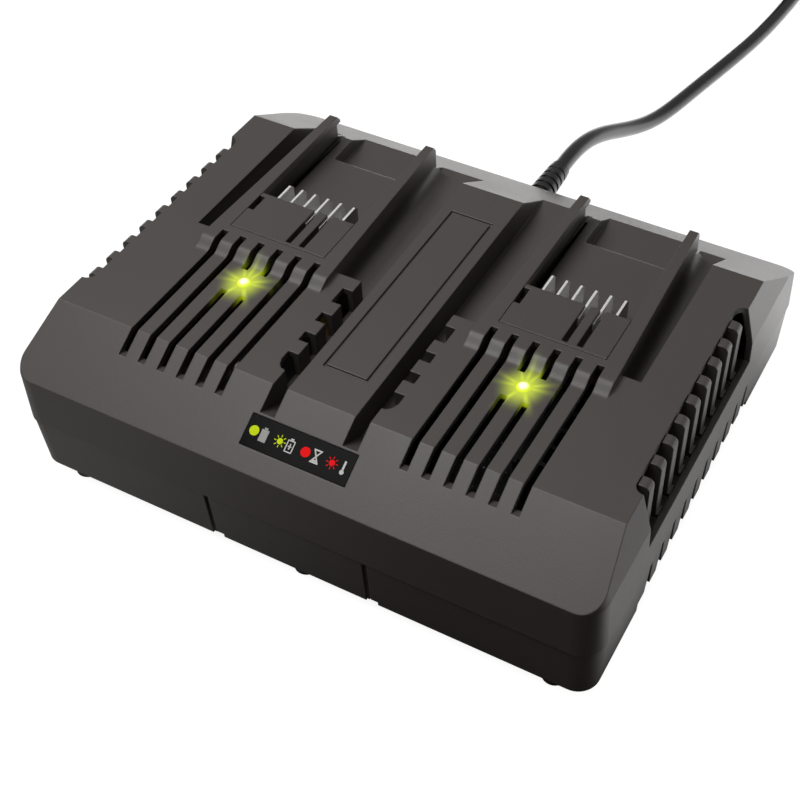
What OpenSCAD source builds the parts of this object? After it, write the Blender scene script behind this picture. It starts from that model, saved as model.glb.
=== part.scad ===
// Two-port battery charger for cordless power tools, millimetres, +Z up.
// The origin is on the table, below the middle of the case. The front faces -Y.

/* [Case] */
// Width of the case at the parting line
case_w = 245; // [230:1:300]
// Depth of the case at the parting line
case_d = 207; // [196:0.5:260]
// Height of the flat deck above the table
deck_h = 71.5; // [69:0.5:90]
// Height of the parting line between the two shells
parting_h = 32; // [30:0.5:34]
// Clearance under the lower shell, set by the feet
ground_gap = 7.5; // [6:0.5:9]
// Radius of the four upright corners
corner_r = 10; // [8:0.5:18]
// Wall thickness of both shells
wall = 2.6; // [2:0.1:3.2]
// How far the deck edge stands in from the parting line
draft = 5; // [3:0.1:6]
// Height where the upright part of the upper wall ends
shoulder_h = 55; // [50:0.5:58]
// How far the wall leans in up to that height
shoulder_in = 0.8; // [0.4:0.1:1.5]
// How far the lower walls lean in between parting line and underside
base_draft = 1.4; // [0.4:0.1:2.5]

/* [Bevels] */
// Distance of the front crease of the deck behind the front face
front_bevel_d = 30; // [26:0.5:34]
// Height of the top edge of the front wall
front_edge_h = 55; // [52:0.5:58]
// Distance of the rear crease of the deck ahead of the rear face
rear_bevel_d = 44; // [36:0.5:48]
// Height of the top edge of the rear wall
rear_edge_h = 44; // [43:0.5:50]

/* [Docks] */
// Distance between the middles of the two docks
dock_pitch = 120; // [116:0.5:126]
// Height of the dock platform above the deck
dock_rise = 3; // [2:0.25:4]
// Width of the dock platform at its front
dock_w = 58; // [54:0.5:62]
// Width of the gap between the two guide rails
rail_gap = 44; // [42:0.5:46]
// Thickness of a guide rail at its rear end
rail_tip_t = 3.7; // [3.2:0.1:5]
// Distance of the platform's front edge behind the front crease
dock_setback = 55; // [50:0.5:60]
// Depth of the platform from its front edge to the open floor
dock_platform_d = 31.5; // [28:0.5:34]
// How far the rails run out behind the rear crease
rail_overrun = 14; // [8:0.5:18]
// Depth of the open dock floor below the rail tops
dock_depth = 12.5; // [10:0.5:15]
// How far the undercut reaches into each rail
undercut = 1.9; // [1.2:0.1:2]
// Thickness of the rail lip above the undercut
lip_t = 3.5; // [2.5:0.1:4.5]
// Depth of the troughs beside the rails below the deck
trough_depth = 12.5; // [10:0.5:14]
// Distance from a dock's middle to the outer edge of its outer trough
trough_reach = 36.6; // [35:0.2:38]
// Radius of the cove between trough floor and rail
cove_r = 6; // [3:0.5:8]
// Width of the latch pocket
pocket_w = 35; // [30:0.5:38]
// Depth of the latch pocket below the dock floor
pocket_depth = 7; // [4:0.5:8]
// Depth of the latch pocket from its front edge to the rear crease
pocket_reach = 0; // [-4:0.5:4]

/* [Slots] */
// Number of long slots in front of each dock
slot_count = 6; // [4:1:6]
// Distance between neighbouring long slots
slot_pitch = 8.6; // [8:0.1:9]
// Width of a long slot
slot_w = 3; // [2:0.1:3.6]
// How far the slot tips run out over the front bevel
slot_runout = 10; // [5:0.5:11]
// Bridge left round the indicator in the two middle slots
slot_bridge = 13; // [11:0.5:16]

/* [Console] */
// Width of the bar between the two docks
console_w = 28.4; // [24:0.2:32]
// Width of the channel on each side of the bar
channel_w = 6; // [4:0.2:8]
// Width of the engraved frame on the bar
frame_w = 19; // [14:0.5:21]
// Length of the engraved frame on the bar
frame_l = 99; // [80:1:104]
// Distance between neighbouring side vents of a channel
notch_pitch = 11.6; // [10:0.1:12]
// Width of the status window
window_w = 43.5; // [36:0.5:48]
// Height of the status window along the bevel
window_l = 11.8; // [9:0.2:13]

/* [Side vents] */
// Number of ribs in each side grille
rib_count = 9; // [6:1:10]
// Distance between neighbouring ribs
rib_pitch = 10.7; // [10:0.1:11]
// Thickness of a rib
rib_t = 4.5; // [3:0.1:5]
// Height of the lower edge of the side recess
recess_h = 45; // [42:0.5:50]
// How far the recess reaches in from the side at deck height
recess_in = 4; // [3:0.2:6]
// How far the ribs stand out beyond the edge of the deck
rib_proud = 0.8; // [0:0.1:1.4]
// Number of lower side slots
low_slot_count = 10; // [6:1:10]
// Distance between neighbouring lower side slots
low_slot_pitch = 11; // [10:0.5:11]
// How far the lower edge of the vent zone is raised
low_step = 4.5; // [2:0.5:6]
// Width of a lower side slot at its mouth
low_slot_w = 6; // [4:0.2:7]
// Height of the pointed top of a lower side slot above the underside
low_slot_h = 19.5; // [12:0.5:20]

/* [Contacts] */
// Number of contact blades in each dock
blade_count = 6; // [4:1:6]
// Distance between neighbouring blades
blade_pitch = 6.15; // [5.5:0.05:6.5]
// Thickness of a blade
blade_t = 1; // [0.6:0.1:1.2]
// How far a blade stands out behind the contact block
blade_l = 12; // [9:0.5:14]

/* [Cord] */
// Diameter of the mains cord
cord_d = 7.6; // [7:0.1:8]
// Height of the cord exit above the table
cord_h = 34; // [32:0.5:35]
// Distance of the cord exit from the middle of the rear wall
relief_x = -1.5; // [-30:0.5:30]
// Length of the strain relief behind the case
relief_l = 29; // [24:1:34]
// Diameter of the coil at the middle of its turns
coil_d = 84; // [80:1:90]

/* [Fan] */
// Outer size of the square fan frame
fan_size = 44; // [40:1:44]
// Thickness of the fan
fan_t = 15; // [12:0.5:15]
// Number of fan blades
fan_blades = 7; // [5:1:9]

/* [Fits] */
// Gap round pieces that drop into a pocket
fit_gap = 0.25; // [0.15:0.05:0.4]
// Radial running clearance of the fan shaft
shaft_gap = 0.05; // [0.02:0.01:0.1]

/* [Hidden] */
$fn = 48;

eps = 0.01;
far = 200;
half_w = case_w / 2;
half_d = case_d / 2;
front_y = -half_d;
rear_y = half_d;
front_crease = front_y + front_bevel_d;
rear_crease = rear_y - rear_bevel_d;
front_lean = side_lean(front_edge_h);
rear_lean = side_lean(rear_edge_h);
front_drop = deck_h - front_edge_h;
front_run = front_bevel_d - front_lean;
front_angle = atan(front_drop / front_run);
rear_drop = deck_h - rear_edge_h;
rear_run = rear_bevel_d - rear_lean;
rear_angle = atan(rear_drop / rear_run);

dock_x = dock_pitch / 2;
dock_top = deck_h + dock_rise;
dock_front = front_crease + dock_setback;
dock_open = dock_front + dock_platform_d;
dock_floor = dock_top - dock_depth;
rail_end = rear_crease + rail_overrun;
rail_in = rail_gap / 2;
rail_out = rail_in + rail_tip_t;
window_top = 12.4;
window_x = -0.5;
window_t = 1.4;
rail_taper = atan((dock_w / 2 - rail_out) / (rail_end - dock_front));
ramp_d = 7;
trough_z = deck_h - trough_depth;
trough_front = dock_front + 6.5;
pocket_front = rear_crease + 1.5 - pocket_reach;
inner_reach = dock_x - console_w / 2;
channel_in = console_w / 2;
channel_out = channel_in + channel_w;

block_gap_x = 0.3;
block_half = rail_in - block_gap_x;
block_front = dock_front + 8.6;
block_bottom = dock_floor - wall;
block_flange_t = 2.6;
block_flange_out = 2.6;
terminal_z = block_bottom - 7;
terminal_t = 1.6;
blade_top = dock_top - 1.5;
blade_root = 7;

slot_tip = front_crease - slot_runout;
slot_end = dock_front + 4.8;
led_y = front_crease + 40;
led_r = 2.6;
led_flange_r = 3.6;
led_flange_t = 1.4;

recess_front = front_crease + 14;
recess_len = rib_pitch * (rib_count + 0.5);
rib_y0 = recess_front + 6.3;

floor_top = ground_gap + wall;
board_z = 17;
board_t = 1.6;
board_w = 168;
board_front = front_crease + 13.5;
board_rear = rear_crease + 8.5;
board_d = board_rear - board_front;
board_x = 12;
board_y = (board_front + board_rear) / 2;

fan_x = -half_w + 20.2;
fan_y = -8;
fan_z = floor_top + fan_size / 2 + 1;
fan_hub_r = 10;
fan_shaft_r = 1.5;

boss_r = 3.9;
screw_r = 1.6;
case_bosses = [for (s = [-1, 1]) each [
    [s * (half_w - 16), front_crease + 2],
    [s * (half_w - 16), rear_crease + 8],
    [0, s > 0 ? rear_crease - 12 : front_crease + 8]]];
board_posts = [for (sx = [-1, 1], sy = [-1, 1])
    [board_x + sx * (board_w / 2 - 6), board_y + sy * (board_d / 2 - 6)]];
foot_r = 5.5;
foot_seat = 1;
feet = [for (x = [-1, 0, 1], s = [-1, 1]) [x * (half_w - 18), s * (half_d - 9)]];

relief_r = 5.8;
relief_tip_r = 4.9;
relief_flange_r = 7;
cord_r = cord_d / 2;
clamp_y = rear_y - 30;
clamp_w = 9;
coil_r = coil_d / 2;
coil_turn_rows = 3;
coil_turn_cols = 2;
coil_x = -10;
coil_y = 425;
lead_route = [[-1.5, 126, 34], [-1.5, 133, 34], [-1.5, 140, 34], [-1.4, 148, 33.6], [-1, 156, 32.4],
    [-0.4, 164, 30.4], [0.4, 172, 27.6], [1.4, 180, 24.2], [2.6, 188, 20.4], [3.9, 196, 16.6],
    [5.3, 204, 13], [6.8, 212, 9.8], [8.4, 220, 7.2], [10.2, 229, 5.1], [12.3, 239, 4.1],
    [14.6, 250, 3.8], [17, 262, 3.8], [20, 276, 3.8], [23, 290, 3.8], [25.8, 304, 3.8],
    [28.5, 318, 3.8], [30.6, 332, 3.8], [32.2, 346, 3.8], [33.4, 360, 3.8], [34.3, 374, 3.8],
    [35, 388, 3.8], [35.5, 402, 3.8], [35.8, 424, 3.8]];
tail_route = [[35.8, 425, 19], [35.8, 438, 18.2], [35.8, 451, 16.2], [33.7, 464, 13.4],
    [28.8, 474.5, 10.8], [21, 483, 8.6], [10.5, 488.5, 7.3], [-1, 490, 7]];

case_grey = [0.2, 0.195, 0.19];
dark_grey = [0.12, 0.12, 0.12];
board_green = [0.1, 0.35, 0.16];
metal_grey = [0.75, 0.75, 0.76];
copper = [0.7, 0.4, 0.2];

// ---------------------------------------------------------------- helpers

// How far the upper wall stands in at a height
function side_lean(z) = z < shoulder_h ?
    shoulder_in * (z - parting_h) / (shoulder_h - parting_h) :
    shoulder_in + (draft - shoulder_in) * (z - shoulder_h) / (deck_h - shoulder_h);

// Mirrored pair, left and right
module both_sides() {
    children();
    mirror([1, 0, 0]) children();
}

// One copy at each dock, not mirrored
module at_dock(side) {
    translate([side * dock_x, 0, 0]) children();
}

// Prism with its outline in the YZ plane, centred on X
module along_x(width, points) {
    translate([-width / 2, 0, 0])
        rotate([90, 0, 90])
            linear_extrude(height = width) polygon(points);
}

// Prism with its outline in the XZ plane, from y0 to y1
module along_y(y0, y1, points) {
    translate([0, y1, 0])
        rotate([90, 0, 0])
            linear_extrude(height = y1 - y0) polygon(points);
}

// Box between two corners
module box(lo, hi) {
    translate(lo) cube(hi - lo);
}

// Rectangle with rounded corners that keep their centres while the walls lean
module leaning_block(z0, z1, grow0, grow1) {
    cx = half_w - corner_r;
    cy = half_d - corner_r;
    along_y(-cy, cy, [[-half_w - grow0, z0], [half_w + grow0, z0],
        [half_w + grow1, z1], [-half_w - grow1, z1]]);
    along_x(2 * cx, [[front_y - grow0, z0], [rear_y + grow0, z0],
        [rear_y + grow1, z1], [front_y - grow1, z1]]);
    for (x = [-cx, cx], y = [-cy, cy])
        translate([x, y, z0])
            cylinder(h = z1 - z0, r1 = corner_r + grow0, r2 = corner_r + grow1);
}

// Side profile of the upper shell, pulled in by a wall
module upper_profile(inset) {
    sf = inset / cos(front_angle);
    sr = inset / cos(rear_angle);
    top = deck_h - inset;
    yf = front_crease + (sf - inset) / tan(front_angle);
    yr = rear_crease - (sr - inset) / tan(rear_angle);
    reach = 10;
    along_x(case_w + 2 * reach, [
        [front_y - reach, parting_h - reach],
        [front_y - reach, top - (yf - front_y + reach) * tan(front_angle)],
        [yf, top], [yr, top],
        [rear_y + reach, top - (rear_y + reach - yr) * tan(rear_angle)],
        [rear_y + reach, parting_h - reach]]);
}

// Places things on the front bevel, with local -Y running down it from the crease
module on_front_bevel() {
    translate([0, front_crease, deck_h]) rotate([front_angle, 0, 0]) children();
}

// ---------------------------------------------------------------- dock shapes

// Plan of both rails and the platform between them, wider at the front
module rail_plan(extra) {
    polygon([[-dock_w / 2 - extra, dock_front], [dock_w / 2 + extra, dock_front],
        [rail_out + extra, rail_end], [-rail_out - extra, rail_end]]);
}

// Side outline of the rails, with a small chamfer at the rear end
module rail_side() {
    along_x(dock_w + 2, [
        [dock_front, trough_z - wall], [dock_front, dock_top], [rail_end - 2, dock_top],
        [rail_end, dock_top - 2.4], [rail_end, trough_z - wall]]);
}

// Smooth step from the deck up to the platform
function ramp_points(n) = [for (i = [0 : n])
    [dock_front - ramp_d * (1 - i / n), deck_h + dock_rise * (1 - cos(180 * i / n)) / 2]];

module dock_body() {
    intersection() {
        rail_side();
        translate([0, 0, trough_z - wall - 1])
            linear_extrude(height = dock_top - trough_z + wall + 2) rail_plan(0);
    }
    along_x(dock_w, concat([[dock_front + eps, deck_h - wall / 2],
        [dock_front - ramp_d, deck_h - wall / 2]], ramp_points(8)));
}

// Trough on the right of a dock: open at the rear, coved up to the rail
module trough(reach, grow) {
    z0 = trough_z - grow;
    y0 = trough_front - grow;
    difference() {
        intersection() {
            box([rail_out - grow - 1, y0, z0], [reach + grow, far, dock_top + 5]);
            translate([0, 0, z0 - 1])
                linear_extrude(height = dock_top - z0 + 10)
                    polygon([[dock_w / 2 - grow, dock_front], [rail_out - grow, rail_end],
                        [rail_out - grow - tan(rail_taper) * (far - rail_end), far],
                        [reach + grow, far], [reach + grow, dock_front]]);
        }
        if (grow == 0) trough_cove();
    }
}

// Concave fillet between the trough floor and the rail's outer side
module trough_cove() {
    translate([dock_w / 2, dock_front, trough_z])
        rotate([0, 0, rail_taper])
            difference() {
                box([-1, -2, -1], [cove_r, rail_end - dock_front + 1, cove_r]);
                translate([cove_r, -3, cove_r])
                    rotate([-90, 0, 0]) cylinder(h = far, r = cove_r);
            }
}

// The open dock floor between the rails, with the undercuts below the lips
module dock_floor_cut(grow) {
    y0 = dock_open - grow;
    z0 = dock_floor - grow;
    box([-rail_in, y0, z0], [rail_in, far, far]);
    if (grow == 0)
        box([-rail_in - undercut, y0, z0], [rail_in + undercut, far, dock_top - lip_t]);
}

// Narrow grooves along both edges of the dock floor and a blind hole beside the last blade
module floor_grooves() {
    translate([rail_in - 5.5, dock_open + 4, dock_floor - 1.2]) cylinder(h = 5, r = 1.3);
    groove_w = 2.4;
    groove_d = 1.4;
    for (s = [-1, 1])
        translate([s * (rail_in + undercut - groove_w / 2), 0, 0])
            box([-groove_w / 2, dock_open + 1, dock_floor - groove_d], [groove_w / 2, far, dock_floor + 1]);
}

// Latch pocket at the rear of the dock floor, with a rounded front edge
module latch_pocket(grow) {
    half = pocket_w / 2 + grow;
    z0 = dock_floor - pocket_depth - grow;
    round_r = 3;
    box([-half, pocket_front - grow, z0], [half, far, dock_floor + grow]);
    if (grow == 0)
        translate([0, pocket_front, dock_floor])
            difference() {
                box([-half, -round_r, -round_r], [half, eps, 1]);
                translate([-half - 1, -round_r, -round_r])
                    rotate([0, 90, 0]) cylinder(h = 2 * half + 2, r = round_r);
            }
}

// Everything cut away at one dock, or its keep-out when grown by a wall
module dock_cuts(grow) {
    trough(trough_reach, grow);
    mirror([1, 0, 0]) trough(inner_reach, grow);
    dock_floor_cut(grow);
    latch_pocket(grow);
}

// One long slot: its floor climbs to the tip on the front bevel
module long_slot(y0, y1) {
    along_x(slot_w, [[y0, deck_h - 30], [y1, deck_h - 30], [y1, dock_top + 2], [y0, dock_top + 2]]);
}

module slot_tip_cut() {
    tip_z = deck_h - slot_runout * tan(front_angle) + 0.2;
    along_x(slot_w, [[slot_tip, tip_z], [front_crease - 1, deck_h - 8], [front_crease + 5, deck_h - 20],
        [front_crease + 5.01, deck_h + 2], [slot_tip, deck_h + 2]]);
}

module long_slots() {
    bridge0 = led_y - slot_bridge / 2;
    bridge1 = led_y + slot_bridge / 2;
    for (i = [0 : slot_count - 1]) {
        k = i - (slot_count - 1) / 2;
        translate([k * slot_pitch, 0, 0]) {
            slot_tip_cut();
            if (abs(k) < 1) {
                long_slot(front_crease + 5, bridge0);
                long_slot(bridge1, slot_end);
            }
            else
                long_slot(front_crease + 5, slot_end);
        }
    }
}

// ---------------------------------------------------------------- console shapes

// Channel beside the console bar, its floor climbing to a tip on the bevel
module channel(grow) {
    tip = front_crease - slot_runout;
    z0 = trough_z - grow;
    translate([(channel_in + channel_out) / 2, 0, 0])
        along_x(channel_w + 2 * grow, [
            [tip - grow, deck_h - slot_runout * tan(front_angle) + 0.2 - grow],
            [front_crease + 2 - grow, z0], [trough_front + grow + eps, z0],
            [trough_front + grow + eps, deck_h + 2], [tip - grow, deck_h + 2]]);
}

// Four side vents that open the deck edge beside a channel, three teeth between
module channel_notches() {
    notch_depth = 4.4;
    notch_l = 5;
    vent_low = trough_z + 1;
    y0 = front_crease + 14.2;
    for (i = [0 : 3])
        translate([channel_out - 1, y0 + i * notch_pitch, 0])
            box([0, -notch_l / 2, vent_low], [notch_depth + 1, i < 3 ? notch_l / 2 : notch_l * 1.2, deck_h + 1]);
    translate([channel_out, y0 - notch_l / 2, vent_low])
        cylinder(h = deck_h, r = notch_depth - 0.4);
}

// Engraved frame line on the console bar
module console_frame() {
    line_w = 1.1;
    line_d = 0.9;
    y1 = rear_crease - 17.8;
    y0 = y1 - frame_l;
    difference() {
        box([-frame_w / 2, y0, deck_h - line_d], [frame_w / 2, y1, deck_h + 1]);
        box([-frame_w / 2 + line_w, y0 + line_w, deck_h - 1], [frame_w / 2 - line_w, y1 - line_w, deck_h + 2]);
    }
}

module window_recess(gap, depth) {
    on_front_bevel()
        box([window_x - window_w / 2 - gap, -window_top - window_l - gap, -depth],
            [window_x + window_w / 2 + gap, -window_top + gap, 3]);
}

// ---------------------------------------------------------------- side vents

// Plan of the recess in the right side, rounded at its inner corners
module recess_plan() {
    r = recess_in - 0.1;
    x0 = half_w - draft - recess_in;
    y0 = recess_front;
    y1 = recess_front + recess_len;
    translate([x0 + r, y0]) square([20, y1 - y0]);
    translate([x0, y0 + r]) square([20, y1 - y0 - 2 * r]);
    for (y = [y0 + r, y1 - r])
        translate([x0 + r, y]) circle(r = r);
}

module side_recess() {
    translate([0, 0, recess_h]) linear_extrude(height = far) recess_plan();
}

// Outline of one rib in the XZ plane: leaning outer edge and rounded cap
module rib_outline() {
    x_wall = half_w - side_lean(recess_h) - wall - 0.3;
    x_top = half_w - draft + rib_proud;
    x_in = half_w - draft - recess_in - 3.4;
    cap = deck_h - 1;
    r = 2.6;
    difference() {
        polygon([[x_in, recess_h - 6], [x_wall, recess_h - 6], [x_wall, recess_h],
            [x_top, recess_h], [x_top, cap], [x_in + 3.7, cap], [x_in + 3.7, deck_h - wall],
            [x_in, deck_h - wall]]);
        translate([x_top - r, cap - r]) difference() {
            square([r + 1, r + 1]);
            circle(r = r);
        }
    }
}

// Right grille: ribs tied by a bar below the recess and one under the deck
module side_grille() {
    color(case_grey) {
        x_in = half_w - draft - recess_in - 3.4;
        x_low = half_w - side_lean(recess_h) - wall - 0.3;
        y0 = recess_front - 2;
        y1 = recess_front + recess_len + 2;
        for (i = [0 : rib_count - 1])
            translate([0, rib_y0 + i * rib_pitch + rib_t / 2, 0])
                rotate([90, 0, 0])
                    linear_extrude(height = rib_t) rib_outline();
        box([x_in, y0, recess_h - 6], [x_low, y1, recess_h - 2]);
        box([x_in, y0, deck_h - wall - 4], [x_in + 2, y1, deck_h - wall]);
    }
}

// Lower slots of the right side: wide at the mouth and narrow at the top
module low_slots() {
    top_w = 2.4;
    y0 = rib_y0 + 0.9;
    for (i = [0 : low_slot_count - 1])
        translate([half_w - 8, y0 + i * low_slot_pitch, 0])
            rotate([90, 0, 90])
                linear_extrude(height = 20)
                    polygon([[-low_slot_w / 2, ground_gap - 1], [low_slot_w / 2, ground_gap - 1],
                        [top_w / 2, ground_gap + low_slot_h], [-top_w / 2, ground_gap + low_slot_h]]);
    box([half_w - 4, y0 - low_slot_pitch * 0.75, ground_gap - 1],
        [half_w + 1, y0 + low_slot_pitch * (low_slot_count - 0.25), ground_gap + low_step]);
}

// ---------------------------------------------------------------- upper shell

module upper_outer() {
    intersection() {
        union() {
            leaning_block(parting_h, shoulder_h, 0, -shoulder_in);
            leaning_block(shoulder_h, deck_h, -shoulder_in, -draft);
        }
        upper_profile(0);
    }
    for (s = [-1, 1]) at_dock(s) dock_body();
}

module upper_cavity() {
    top = deck_h - wall;
    difference() {
        union() {
            intersection() {
                union() {
                    leaning_block(parting_h - 1, shoulder_h, -wall, -shoulder_in - wall);
                    leaning_block(shoulder_h, top, -shoulder_in - wall, -side_lean(top) - wall);
                }
                upper_profile(wall);
            }
            for (s = [-1, 1]) at_dock(s)
                box([-dock_w / 2 + wall, dock_front + wall, top - 1],
                    [dock_w / 2 - wall, dock_open - wall, dock_top - wall]);
        }
        for (s = [0, 1]) mirror([s, 0, 0]) {
            translate([dock_x, 0, 0]) dock_cuts(wall);
            channel(wall);
        }
        window_recess(wall, window_t + wall);
        relief_boss();
    }
}

// Solid pad inside the rear wall that holds the cord exit
module relief_boss() {
    translate([relief_x, 0, 0]) box([-12, rear_y - rear_lean - 14, parting_h - 2], [12, rear_y + 5, far]);
}

module upper_bosses() {
    for (p = case_bosses)
        translate([p[0], p[1], parting_h])
            difference() {
                cylinder(h = deck_h - parting_h - 1, r = boss_r);
                translate([0, 0, -1]) cylinder(h = 14, r = screw_r + 0.05);
            }
}

module block_window() {
    box([-rail_in, block_front - 0.3, block_bottom - 30], [rail_in, dock_open + eps, far]);
}

// Seat of the strain relief, half in each shell
module cord_exit_cut() {
    outside = rear_y - rear_lean;
    translate([relief_x, rear_y + 5, cord_h])
        rotate([90, 0, 0]) {
            cylinder(h = 40, r = relief_r + 0.2);
            translate([0, 0, rear_y + 5 - outside + wall])
                cylinder(h = 5.4, r = relief_flange_r + 0.2);
        }
    translate([relief_x, 0, cord_h])
        box([-7.5, outside - 22, -7.5], [7.5, outside - wall - 5.3, 7.5]);
}

module upper_shell() {
    color(case_grey)
        difference() {
            union() {
                difference() {
                    upper_outer();
                    upper_cavity();
                }
                intersection() {
                    upper_bosses();
                    upper_outer();
                }
            }
            for (s = [0, 1]) mirror([s, 0, 0]) {
                translate([dock_x, 0, 0]) dock_cuts(0);
                channel(0);
                channel_notches();
                side_recess();
            }
            for (s = [-1, 1]) at_dock(s) {
                long_slots();
                block_window();
                floor_grooves();
                translate([0, led_y, deck_h - 10]) cylinder(h = 20, r = led_r + 0.1);
            }
            console_frame();
            window_recess(fit_gap, window_t);
            cord_exit_cut();
        }
}

// ---------------------------------------------------------------- lower shell

module lower_shell() {
    step = 0.4;
    color(case_grey)
        difference() {
            union() {
                difference() {
                    leaning_block(ground_gap, parting_h, -base_draft, -step);
                    leaning_block(floor_top, parting_h + 1, -wall - base_draft, -wall - step);
                }
                for (p = case_bosses)
                    translate([p[0], p[1], ground_gap + 1]) cylinder(h = parting_h - ground_gap - 1, r = boss_r + 0.6);
                for (p = board_posts)
                    translate([p[0], p[1], floor_top - 1]) cylinder(h = board_z - floor_top + 1, r = 3.2);
                fan_cradle();
                cord_saddle();
                translate([relief_x, 0, 0]) box([-12, rear_y - rear_lean - 14, floor_top - 1], [12, rear_y - 2, parting_h]);
            }
            cord_exit_cut();
            for (p = case_bosses)
                translate([p[0], p[1], ground_gap]) {
                    translate([0, 0, -1]) cylinder(h = 40, r = screw_r + 0.15);
                    translate([0, 0, -1]) cylinder(h = 4.4, r = 3.5);
                }
            for (p = board_posts)
                translate([p[0], p[1], floor_top + 2]) cylinder(h = 20, r = 1.25);
            for (p = feet)
                translate([p[0], p[1], ground_gap - 1]) cylinder(h = 1 + foot_seat, r = foot_r + 0.2);
            for (s = [0, 1]) mirror([s, 0, 0]) low_slots();
            front_grooves();
        }
}

// Two upright grooves in the front wall
module front_grooves() {
    groove_w = 2;
    for (x = [-36, 32])
        translate([x, front_y, 0]) {
            box([-groove_w / 2, -2, ground_gap - 1], [groove_w / 2, base_draft + 0.8, parting_h - 0.8]);
            box([0, -2, ground_gap - 1], [groove_w / 2 + 3, base_draft + 3, ground_gap + 1.8]);
        }
}

// Two low walls that hold the fan frame
module fan_cradle() {
    clear = 0.3;
    for (s = [-1, 1])
        translate([fan_x + s * (fan_t / 2 + clear + 1), fan_y, 0])
            box([-1, -fan_size / 2, floor_top - 1], [1, fan_size / 2, floor_top + 6]);
    box([fan_x - fan_t / 2 - 1, fan_y - 20, floor_top - 1], [fan_x + fan_t / 2 + 1, fan_y + 20, floor_top + 1]);
}

// Saddle under the cord, with a pilot hole for a screw on each side
module cord_saddle() {
    top = cord_h - cord_r;
    difference() {
        translate([relief_x, clamp_y, 0]) box([-17, -clamp_w / 2, floor_top - 1], [17, clamp_w / 2, top]);
        for (x = [-12, 12])
            translate([relief_x + x, clamp_y, top - 12]) cylinder(h = 20, r = 1.2);
    }
}

// ---------------------------------------------------------------- docks: inserts

module contact_block() {
    color(dark_grey)
        difference() {
            union() {
                box([-block_half, block_front, block_bottom], [block_half, dock_open, dock_top]);
                box([-block_half - block_flange_out, block_front - block_flange_out, dock_top - wall - block_flange_t],
                    [block_half + block_flange_out, dock_open - wall - 1.5, dock_top - wall]);
                for (x = [-1, 1], y = [block_front + 2, dock_open - 3])
                    translate([x * (block_half - 2), y, 0])
                        box([-2, -2, terminal_z], [2, 2, block_bottom + 1]);
            }
            blade_slits();
            // two open grooves beside the fourth and fifth blades
            for (i = [3, 4])
                translate([blade_x(i) + 1.2, 0, 0])
                    box([-1.25, block_front + 1.4, dock_top - 5], [1.25, dock_open + 1, dock_top + 1]);
            // notch at the left rear corner
            box([-block_half - 1, dock_open - 11, dock_top - 6], [-block_half + 2.6, dock_open - 2, dock_top + 1]);
        }
}

function blade_x(i) = (i - (blade_count - 1) / 2) * blade_pitch;

module blade_slits() {
    for (i = [0 : blade_count - 1])
        translate([blade_x(i), 0, 0])
            box([-blade_t / 2 - 0.05, dock_open - blade_root - 0.1, terminal_z - 1],
                [blade_t / 2 + 0.05, dock_open + 1, blade_top + 0.05]);
}

module contact_blades() {
    root = dock_open - blade_root;
    tip = dock_open + blade_l;
    low = dock_floor + 0.4;
    color(metal_grey)
        for (i = [0 : blade_count - 1])
            translate([blade_x(i), 0, 0])
                along_x(blade_t, [[root, terminal_z], [root + 2, terminal_z], [root + 2, low],
                    [tip, low], [tip, blade_top - 1.5], [tip - 1.5, blade_top], [root, blade_top]]);
}

module terminal_board() {
    color(board_green)
        box([-block_half, block_front + 1, terminal_z - terminal_t], [block_half, dock_open, terminal_z]);
}

// Domed lens with a flange that stops under the deck
module led_lens() {
    dome_r = 3.4;
    color([0.75, 0.95, 0.2])
        translate([0, led_y, 0]) {
            translate([0, 0, deck_h - wall - led_flange_t]) cylinder(h = led_flange_t, r = led_flange_r);
            translate([0, 0, deck_h - wall - led_flange_t]) cylinder(h = wall + led_flange_t, r = led_r);
            intersection() {
                translate([0, 0, deck_h - sqrt(pow(dome_r, 2) - pow(led_r, 2))]) sphere(r = dome_r);
                translate([0, 0, deck_h - 0.5]) cylinder(h = 10, r = led_r);
            }
        }
}

module led_board() {
    color(board_green)
        translate([0, led_y, deck_h - wall - led_flange_t - 1.6])
            box([-6, -6, 0], [6, 6, 1.6]);
}

module status_window() {
    color([0.03, 0.03, 0.03]) window_recess_fill();
}

module window_recess_fill() {
    on_front_bevel()
        box([window_x - window_w / 2, -window_top - window_l, -window_t],
            [window_x + window_w / 2, -window_top, 0]);
}

// Small board with the indicator lamps, held under the window pad
module status_board() {
    color(board_green)
        on_front_bevel()
            box([window_x - window_w / 2, -window_top - window_l, -window_t - wall - 1.2],
                [window_x + window_w / 2, -window_top - 3.4, -window_t - wall]);
}

// ---------------------------------------------------------------- inside the case

module main_board() {
    color(board_green)
        difference() {
            box([board_x - board_w / 2, board_y - board_d / 2, board_z],
                [board_x + board_w / 2, board_y + board_d / 2, board_z + board_t]);
            for (p = board_posts)
                translate([p[0], p[1], board_z - 1]) cylinder(h = 5, r = 1.6);
            for (x = [0])
                for (p = [case_bosses[2], case_bosses[5]])
                    translate([p[0], p[1], board_z - 1]) cylinder(h = 5, r = boss_r + 1.2);
        }
}

board_top = board_z + board_t;

core_w = 42;
core_h = 31;
core_x = 42;
core_y = 33;

// E-shaped ferrite halves closed round the winding
module transformer_core() {
    color([0.15, 0.15, 0.16])
        translate([core_x, core_y, board_top + 2])
            difference() {
                box([-core_w / 2, -8, 0], [core_w / 2, 8, core_h]);
                for (s = [-1, 1])
                    translate([s * core_w / 4.4, 0, 0]) box([-5.6, -10, 6], [5.6, 10, core_h - 6]);
            }
}

module transformer_winding() {
    leg_half = core_w / 4.4 - 5.6;
    color(copper)
        translate([core_x, core_y, board_top]) {
            difference() {
                box([-13.6, -16, 8.4], [13.6, 16, core_h - 4.4]);
                box([-leg_half - 0.3, -8.3, 7], [leg_half + 0.3, 8.3, core_h]);
            }
            for (s = [-1, 1])
                translate([0, s * 13, 0]) box([-12, -2.6, 0], [12, 2.6, 9]);
        }
}

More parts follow.
